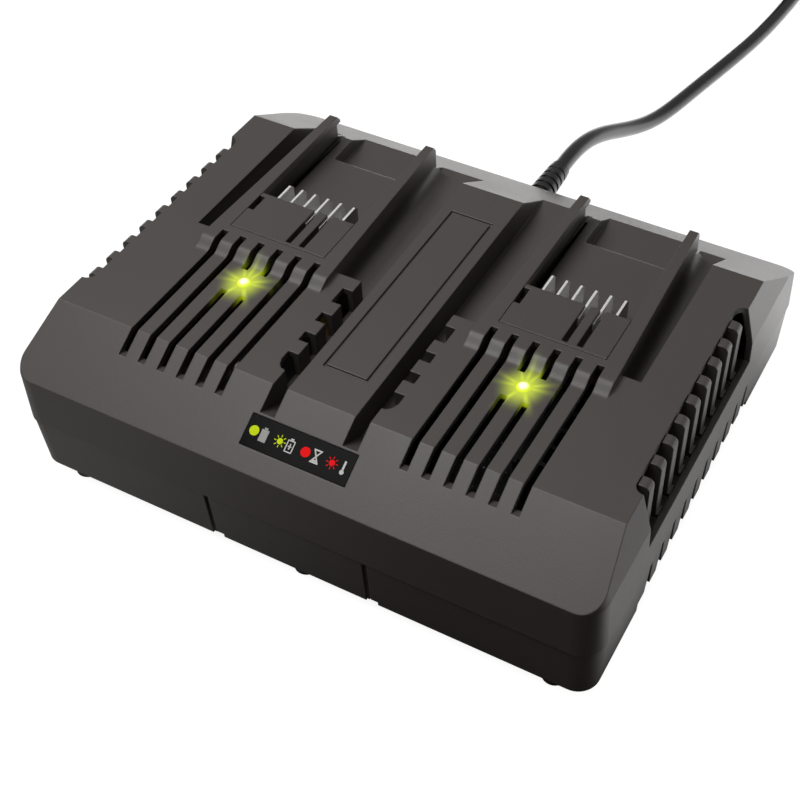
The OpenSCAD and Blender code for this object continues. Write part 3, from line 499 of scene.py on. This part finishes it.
class ChargerStage(bpy.types.PropertyGroup):
    """Floor, light and camera"""

    key_power: FloatProperty(
        name="Top light", description="Power of the large light above", subtype="POWER", unit="POWER",
        default=9.1, min=0.0, max=200.0)
    rim_power: FloatProperty(
        name="Side light", description="Power of the strip light on the right", subtype="POWER", unit="POWER",
        default=1.2, min=0.0, max=200.0)
    ambient: FloatProperty(
        name="Ambient", description="Level of the even light from all round", subtype="FACTOR",
        default=0.03, min=0.0, max=2.0)
    white_floor: BoolProperty(
        name="White floor", description="Show the floor and the backdrop as plain white", default=True)


# ---------------------------------------------------------------- stage


class CHARGER_OT_stage(bpy.types.Operator):
    """Add the floor, the soft lights and the camera"""

    bl_idname = "charger.stage"
    bl_label = "Stage"

    def execute(self, context):
        scene = context.scene
        settings = scene.charger_stage
        scene.view_settings.view_transform = "Standard"
        self.add_world(scene, settings)
        self.add_floor(scene, settings)
        self.add_lights(scene, settings)
        self.add_camera(scene)
        return {"FINISHED"}

    def seen_directly(self, shading):
        """Two masks: camera rays alone, and all rays that show a thing, mirrored or through glass too."""
        rays = ("Is Camera Ray", "Is Glossy Ray", "Is Transmission Ray")
        camera, glossy, through = shading.outputs("ShaderNodeLightPath", rays)
        return camera, (camera + glossy + through).clamp()

    def add_world(self, scene, settings):
        """Plain white to the camera, dimmer when mirrored, and a faint warm light from all round."""
        world = bpy.data.worlds.new("Studio")
        scene.world = world
        world.use_nodes = True
        studio = Shading(world.node_tree)
        camera, seen = self.seen_directly(studio)
        mirrored = 0.4
        warm = rgb(1.0, 0.82, 0.76)
        level = camera + (seen - camera) * mirrored + (1.0 - seen) * settings.ambient
        back = studio.tree.nodes["Background"]
        studio.plug(back.inputs["Color"], studio.mix(seen, warm, WHITE))
        studio.plug(back.inputs["Strength"], level)

    def painted_shadow_under_case(self, x, y):
        """Painted shadow on the floor: 1 under the middle of the case, falling to 0 just before its outline.
        """
        half_x, half_y, soft = 0.1, 0.08, 0.022
        across = x.maths("ABSOLUTE").ramp(half_x, half_x + soft)
        along = y.maths("ABSOLUTE").ramp(half_y, half_y + soft)
        return (1.0 - across) * (1.0 - along)

    def mirrored_floor(self, x, y):
        """How bright the floor is in reflections: to the right, behind and on the left."""
        right = x.ramp(0.118, 0.135) * y.ramp(-0.11, -0.06) * 0.78
        behind = y.ramp(0.05, 0.14) * 2.1
        left = (x * -1.0).ramp(-0.06, 0.14) * 0.34
        return right.maths("MAXIMUM", behind).maths("MAXIMUM", left)

    def add_floor(self, scene, settings):
        """A floor that lights the object as dark paper does, and may look plain white with a painted shadow
        under the case.
        """
        bm = bmesh.new()
        bmesh.ops.create_grid(bm, x_segments=1, y_segments=1, size=3.0)
        floor = bpy.data.objects.new("Floor", mesh_of(bm, "Floor"))
        scene.collection.objects.link(floor)
        paper = Finish("Floor paper")
        paper.set(Base_Color=rgb(0.12, 0.11, 0.1), Roughness=0.9, Specular_IOR_Level=0.1)
        if settings.white_floor:
            shadow_depth = 0.9
            brightest = 1.0 / 0.45
            camera, seen = self.seen_directly(paper)
            x, y, _ = paper.axes()
            # Painted shadow: the white seen by the camera is darkened under the case
            shown = camera * (1.0 - self.painted_shadow_under_case(x, y) * shadow_depth)
            level = shown + (seen - camera) * self.mirrored_floor(x, y)
            paper.set(Emission_Color=paper.mix(level * (1.0 / brightest), BLACK, WHITE))
            paper.set(Emission_Strength=brightest)
        floor.data.materials.append(paper.material)

    def add_area(self, scene, name, place, target, size, power):
        """A rectangular white light at a place, turned to a target."""
        data = bpy.data.lights.new(name, "AREA")
        data.shape = "RECTANGLE"
        data.size, data.size_y = size
        data.energy = power
        lamp = bpy.data.objects.new(name, data)
        scene.collection.objects.link(lamp)
        lamp.location = place
        lamp.rotation_euler = (Vector(target) - Vector(place)).to_track_quat("-Z", "Y").to_euler()

    def add_lights(self, scene, settings):
        """A wide light above and a long low strip behind on the right."""
        self.add_area(scene, "Top light", place=(-0.34, -0.14, 1.1), target=(0.0, 0.0, 0.05),
                      size=(0.8, 0.7), power=settings.key_power)
        self.add_area(scene, "Side light", place=(1.0, 0.75, 0.18), target=(0.05, 0.05, 0.03),
                      size=(0.9, 0.3), power=settings.rim_power)

    def add_camera(self, scene):
        """A view from the front right and from above."""
        azimuth, elevation, distance = math.radians(27.46), math.radians(47.09), 0.59375
        target = Vector((0.01572, 0.0185, -0.007))
        back = Vector((math.sin(azimuth) * math.cos(elevation),
                       -math.cos(azimuth) * math.cos(elevation), math.sin(elevation)))
        data = bpy.data.cameras.new("Camera")
        data.sensor_width = 36.0
        data.lens = 61.745
        data.shift_x = -0.10068
        data.clip_start = 0.01
        camera = bpy.data.objects.new("Camera", data)
        scene.collection.objects.link(camera)
        camera.location = target + back * distance
        camera.rotation_euler = back.to_track_quat("Z", "Y").to_euler()
        scene.camera = camera


# ---------------------------------------------------------------- cord


# The way of the cord in millimetres: from the strain relief down to the floor and up to the coil,
# and from the top of the coil down to the plug
LEAD = [
    (-1.5, 126, 34), (-1.5, 133, 34), (-1.5, 140, 34), (-1.4, 148, 33.6), (-1, 156, 32.4), (-0.4, 164, 30.4),
    (0.4, 172, 27.6), (1.4, 180, 24.2), (2.6, 188, 20.4), (3.9, 196, 16.6), (5.3, 204, 13), (6.8, 212, 9.8),
    (8.4, 220, 7.2), (10.2, 229, 5.1), (12.3, 239, 4.1), (14.6, 250, 3.8), (17, 262, 3.8), (20, 276, 3.8),
    (23, 290, 3.8), (25.8, 304, 3.8), (28.5, 318, 3.8), (30.6, 332, 3.8), (32.2, 346, 3.8), (33.4, 360, 3.8),
    (34.3, 374, 3.8), (35, 388, 3.8), (35.5, 402, 3.8)]
TAIL = [
    (35.8, 438, 18.2), (35.8, 451, 16.2), (33.7, 464, 13.4), (28.8, 474.5, 10.8), (21, 483, 8.6),
    (10.5, 488.5, 7.3), (-1, 490, 7)]
# Middle of the coil, and for each turn its side of the middle radius and its row above the floor
COIL_MIDDLE = (-0.010, 0.425)
LAYERS = ((1, 0), (-1, 0), (-1, 1), (1, 1), (-1, 2), (1, 2))


class CHARGER_OT_cord(bpy.types.Operator):
    """Lay the mains cord from the strain relief through its coil to the plug"""

    bl_idname = "charger.cord"
    bl_label = "Mains cord"

    def coil_point(self, sizes, share, side, row):
        """A point of the coil, a share of a turn round it."""
        radius = (sizes.coil_diameter + side * sizes.diameter) / 2
        angle = 2 * math.pi * share
        return (COIL_MIDDLE[0] + radius * math.cos(angle), COIL_MIDDLE[1] + radius * math.sin(angle),
                sizes.diameter * (0.5 + row))

    def coil_points(self, sizes):
        """Turns beside and on each other. The cord changes its layer in the last fifth of a turn."""
        steps, change = 24, 0.2
        points = []
        for (side, row), (next_side, next_row) in zip(LAYERS, (*LAYERS[1:], LAYERS[-1])):
            for step in range(steps):
                share = step / steps
                late = max(share - (1 - change), 0) / change
                blend = late * late * (3 - 2 * late)
                points.append(self.coil_point(sizes, share, side + (next_side - side) * blend,
                                              row + (next_row - row) * blend))
        points.append(self.coil_point(sizes, 0.0, *LAYERS[-1]))
        return points

    def execute(self, context):
        sizes = context.scene.charger_cord
        path = [tuple(v * MM for v in point) for point in LEAD]
        path += self.coil_points(sizes)
        path += [tuple(v * MM for v in point) for point in TAIL]
        curve = bpy.data.curves.new("Mains_cord", "CURVE")
        curve.dimensions = "3D"
        curve.bevel_depth = sizes.diameter / 2
        curve.bevel_resolution = 4
        curve.resolution_u = 4
        curve.use_fill_caps = True
        spline = curve.splines.new("NURBS")
        spline.points.add(len(path) - 1)
        for point, place in zip(spline.points, path):
            point.co = (*place, 1.0)
        spline.order_u = 3
        spline.use_endpoint_u = True
        cord = bpy.data.objects.new("Mains_cord", curve)
        context.scene.collection.objects.link(cord)
        curve.materials.append(cord_sheath())
        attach(cord, "case")
        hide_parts("cord_lead", "cord_coil", "cord_tail")
        return {"FINISHED"}


# ---------------------------------------------------------------- case


def dress(material, *names):
    """Gives CAD nodes their finish."""
    for name in names:
        piece = NODES[name]
        if not piece.data.materials:
            piece.data.materials.append(material)
        for slot in piece.material_slots:
            slot.material = material


class CHARGER_OT_case(bpy.types.Operator):
    """Finish the moulded shells and grilles"""

    bl_idname = "charger.case"
    bl_label = "Housing"

    def execute(self, context):
        colour = context.scene.charger_look.case_colour
        dress(moulded_case("Housing plastic top", colour, glow=True), "upper_shell")
        dress(moulded_case("Housing plastic base", shade(colour, 0.92)), "lower_shell")
        dress(moulded_case("Rib plastic", colour), "side_grille_left", "side_grille_right")
        return {"FINISHED"}


class CHARGER_OT_contacts(bpy.types.Operator):
    """Finish the contact blocks and their blades"""

    bl_idname = "charger.contacts"
    bl_label = "Contacts"

    def execute(self, context):
        block = moulded_case("Contact block", shade(context.scene.charger_look.case_colour, 0.95))
        dress(block, "contact_block_left", "contact_block_right")
        plated = metal("Plated contact", (0.98, 0.98, 0.97), 0.3, brush=(1.0, 0.15, 1.0), scratch=0.02,
                       metallic=0.05)
        dress(plated, "contact_blades_left", "contact_blades_right")
        return {"FINISHED"}


class CHARGER_OT_lamps(bpy.types.Operator):
    """Finish the two charge indicators"""

    bl_idname = "charger.lamps"
    bl_label = "Indicators"

    def execute(self, context):
        dress(lamp_lens(), "led_lens_left", "led_lens_right")
        return {"FINISHED"}


# ---------------------------------------------------------------- status window


class CHARGER_OT_window(bpy.types.Operator):
    """Print the plain state marks on the status window"""

    bl_idname = "charger.window"
    bl_label = "Status window"

    ink = 0.05 * MM

    def execute(self, context):
        dress(window_film(), "status_window")
        # The green and red inks get a painted glow
        green = printed_ink("Green ink", (0.5, 0.62, 0.004), painted_glow=0.42)
        red = printed_ink("Red ink", (0.75, 0.002, 0.004), painted_glow=0.4)
        grey = printed_ink("Grey ink", (0.5, 0.5, 0.48))
        white = printed_ink("White ink", (0.85, 0.85, 0.83))
        self.place_marks("Marks_green", green, self.green_marks)
        self.place_marks("Marks_red", red, self.red_marks)
        self.place_marks("Marks_grey", grey, self.grey_marks)
        self.place_marks("Marks_white", white, self.white_marks)
        return {"FINISHED"}

    def place_marks(self, name, material, draw):
        """Draws marks flat, then lays them on the sloping window."""
        bm = bmesh.new()
        draw(bm)
        low, high = node_box("status_window")
        slope = math.atan2(BEVEL_DROP, BEVEL_RUN)
        half = WINDOW_LENGTH / 2
        middle = Vector(((low.x + high.x) / 2, low.y + half * math.cos(slope),
                         high.z - half * math.sin(slope)))
        lay = Matrix.Translation(middle) @ Matrix.Rotation(slope, 4, "X")
        bmesh.ops.transform(bm, verts=bm.verts, matrix=lay)
        new_piece(name, mesh_of(bm, name), material)

    def bar(self, bm, width, depth, x, y, turn=0.0):
        """A bar of ink, its sizes and place in millimetres."""
        add_plate(bm, width * MM, depth * MM, (x * MM, y * MM), self.ink, turn)

    def dot(self, bm, radius, x, y, sides=24):
        """A dot of ink, its radius and place in millimetres."""
        add_disc(bm, radius * MM, (x * MM, y * MM), self.ink, sides)

    def sun(self, bm, x, y):
        """A dot with eight rays."""
        self.dot(bm, 1.15, x, y)
        for k in range(8):
            turn = k * math.pi / 4
            self.bar(bm, 0.9, 0.3, x + 1.95 * math.cos(turn), y + 1.95 * math.sin(turn), turn)

    def green_marks(self, bm):
        """A steady lamp and a blinking one."""
        self.dot(bm, 1.9, -18.6, 0.3, 32)
        self.sun(bm, -7.7, 0.2)

    def red_marks(self, bm):
        """A steady lamp and a blinking one."""
        self.dot(bm, 1.9, 3.0, 0.1, 32)
        self.sun(bm, 13.9, 0.1)

    def grey_marks(self, bm):
        """A full battery."""
        x = -14.4
        self.bar(bm, 3.0, 4.6, x, -0.3)
        self.bar(bm, 1.4, 0.7, x, 2.4)

    def white_marks(self, bm):
        """A charging battery, an hourglass and a thermometer."""
        self.charging_battery(bm, -3.4)
        self.hourglass(bm, 7.4)
        self.thermometer(bm, 18.6)

    def charging_battery(self, bm, x):
        """An outline with a cap and a cross inside."""
        for dx in (-1.35, 1.35):
            self.bar(bm, 0.42, 4.4, x + dx, -0.3)
        for y in (-2.4, 1.8):
            self.bar(bm, 3.1, 0.42, x, y)
        self.bar(bm, 1.3, 0.6, x, 2.4)
        self.bar(bm, 0.5, 2.2, x, -0.3)
        self.bar(bm, 1.4, 0.45, x, -0.3)

    def hourglass(self, bm, x):
        """Two ends, two crossed walls and the sand."""
        for y in (-2.3, 2.3):
            self.bar(bm, 3.4, 0.55, x, y)
        for turn in (1, -1):
            self.bar(bm, 0.5, 4.8, x, 0.0, turn * 0.55)
        self.bar(bm, 1.5, 0.7, x, -1.6)

    def thermometer(self, bm, x):
        """A stem on a bulb."""
        self.bar(bm, 0.8, 3.6, x, 0.7)
        self.dot(bm, 0.85, x, -1.7)


# ---------------------------------------------------------------- feet, screws, cord fittings


class CHARGER_OT_feet(bpy.types.Operator):
    """Finish the rubber feet"""

    bl_idname = "charger.feet"
    bl_label = "Feet"

    def execute(self, context):
        dress(rubber("Foot rubber", (0.022, 0.022, 0.022)), "rubber_feet")
        return {"FINISHED"}


class CHARGER_OT_screws(bpy.types.Operator):
    """Finish the screws of the case, the boards and the cord clamp"""

    bl_idname = "charger.screws"
    bl_label = "Screws"

    def execute(self, context):
        dress(metal("Zinc screws", (0.62, 0.63, 0.65), 0.35), "case_screws", "board_screws", "clamp_screws")
        return {"FINISHED"}


class CHARGER_OT_cord_fittings(bpy.types.Operator):
    """Finish the strain relief, tie, plug, cord clamp, inner cord and inlet terminal"""

    bl_idname = "charger.cord_fittings"
    bl_label = "Cord fittings"

    def execute(self, context):
        relief = rubber("Relief rubber", (0.013, 0.013, 0.013), 0.38)
        dress(relief, "strain_relief", "coil_tie", "inner_cord")
        dress(rubber("Plug plastic", (0.022, 0.022, 0.023), 0.42), "mains_plug")
        dress(metal("Plug pins", (0.78, 0.77, 0.72), 0.22, brush=(0.1, 1.0, 1.0)), "plug_pins")
        dress(black_plastic(), "cord_clamp")
        dress(moulded_case("Terminal plastic", (0.03, 0.13, 0.08)), "inlet_terminal")
        return {"FINISHED"}


# ---------------------------------------------------------------- inside


class CHARGER_OT_boards(bpy.types.Operator):
    """Finish the circuit boards"""

    bl_idname = "charger.boards"
    bl_label = "Circuit boards"

    def execute(self, context):
        dress(circuit_board(), "main_board", "status_board", "terminal_board_left", "terminal_board_right",
              "led_board_left", "led_board_right")
        return {"FINISHED"}


class CHARGER_OT_windings(bpy.types.Operator):
    """Finish the transformer and the line choke"""

    bl_idname = "charger.windings"
    bl_label = "Transformer and choke"

    def execute(self, context):
        dress(wound_tape(), "transformer_winding", "line_choke")
        dress(ferrite(), "transformer_core")
        return {"FINISHED"}


class CHARGER_OT_power_parts(bpy.types.Operator):
    """Finish the power transistors, heat sinks, capacitors and fuse"""

    bl_idname = "charger.power_parts"
    bl_label = "Power parts"

    def execute(self, context):
        anodised = metal("Black anodised heat sink", (0.05, 0.05, 0.054), 0.45, brush=(1.0, 1.0, 0.1))
        dress(anodised, "heat_sinks")
        dress(black_plastic(), "power_transistors")
        dress(sleeve(), "capacitors")
        dress(fuse_ceramic(), "mains_fuse")
        return {"FINISHED"}


class CHARGER_OT_fan(bpy.types.Operator):
    """Finish the fan and add the dark film in front of it that stands in for shade inside the case"""

    bl_idname = "charger.fan"
    bl_label = "Fan"

    def execute(self, context):
        dress(black_plastic(), "fan_frame", "fan_rotor")
        self.add_shade_sheet(moulded_case("Polyester film", (0.024, 0.024, 0.026)))
        return {"FINISHED"}

    def add_shade_sheet(self, material):
        """A bent dark film on the fan's front face: it stands in for the shade inside the case, so the vents
        in front of the fan look dark.
        """
        tab, wing, height, film, fold_radius = 11.0 * MM, 27.0 * MM, 29.0 * MM, 0.4 * MM, 1.5 * MM
        low, _ = node_box("fan_frame")
        fold_y = low.y - film
        bm = bmesh.new()
        outline = ((low.x + tab, fold_y), (low.x, fold_y), (low.x, fold_y - wing))
        corners = [bm.verts.new((x, y, low.z)) for x, y in outline]
        foot = [bm.edges.new(pair) for pair in zip(corners, corners[1:])]
        made = bmesh.ops.extrude_edge_only(bm, edges=foot)["geom"]
        top = [item for item in made if isinstance(item, bmesh.types.BMVert)]
        bmesh.ops.translate(bm, verts=top, vec=(0.0, 0.0, height))
        fold = [edge for edge in bm.edges if len(edge.link_faces) == 2]
        bmesh.ops.bevel(bm, geom=fold, offset=fold_radius, segments=4, profile=0.5, affect="EDGES",
                        material=-1)
        shade_sheet = new_piece("Fan_shade_sheet", mesh_of(bm, "Fan_shade_sheet"), material)
        wall = shade_sheet.modifiers.new("Film", "SOLIDIFY")
        wall.thickness = film
        wall.offset = -1.0
        wall.use_even_offset = True


# ---------------------------------------------------------------- panel and start


class CHARGER_PT_panel(bpy.types.Panel):
    """Lists the steps that finish the charger"""

    bl_label = "Charger"
    bl_idname = "CHARGER_PT_panel"
    bl_space_type = "VIEW_3D"
    bl_region_type = "UI"
    bl_category = "Charger"

    def draw(self, context):
        scene = context.scene
        for settings in (scene.charger_look, scene.charger_cord, scene.charger_stage):
            box = self.layout.box()
            for name in settings.__annotations__:
                box.prop(settings, name)
        for step in STEPS:
            self.layout.operator(step.bl_idname)


STEPS = (CHARGER_OT_stage, CHARGER_OT_cord, CHARGER_OT_case, CHARGER_OT_contacts, CHARGER_OT_lamps,
         CHARGER_OT_window, CHARGER_OT_feet, CHARGER_OT_screws, CHARGER_OT_cord_fittings,
         CHARGER_OT_boards, CHARGER_OT_windings, CHARGER_OT_power_parts, CHARGER_OT_fan)
SETTINGS = {"charger_look": ChargerLook, "charger_cord": ChargerCord, "charger_stage": ChargerStage}


def register():
    for cls in (*SETTINGS.values(), *STEPS, CHARGER_PT_panel):
        bpy.utils.register_class(cls)
    for name, cls in SETTINGS.items():
        setattr(bpy.types.Scene, name, PointerProperty(type=cls))


def unregister():
    for name in SETTINGS:
        delattr(bpy.types.Scene, name)
    for cls in (CHARGER_PT_panel, *reversed(STEPS), *SETTINGS.values()):
        bpy.utils.unregister_class(cls)


def main():
    """Runs every step."""
    register()
    for step in STEPS:
        group, name = step.bl_idname.split(".")
        getattr(getattr(bpy.ops, group), name)()


if __name__ == "__main__":
    main()
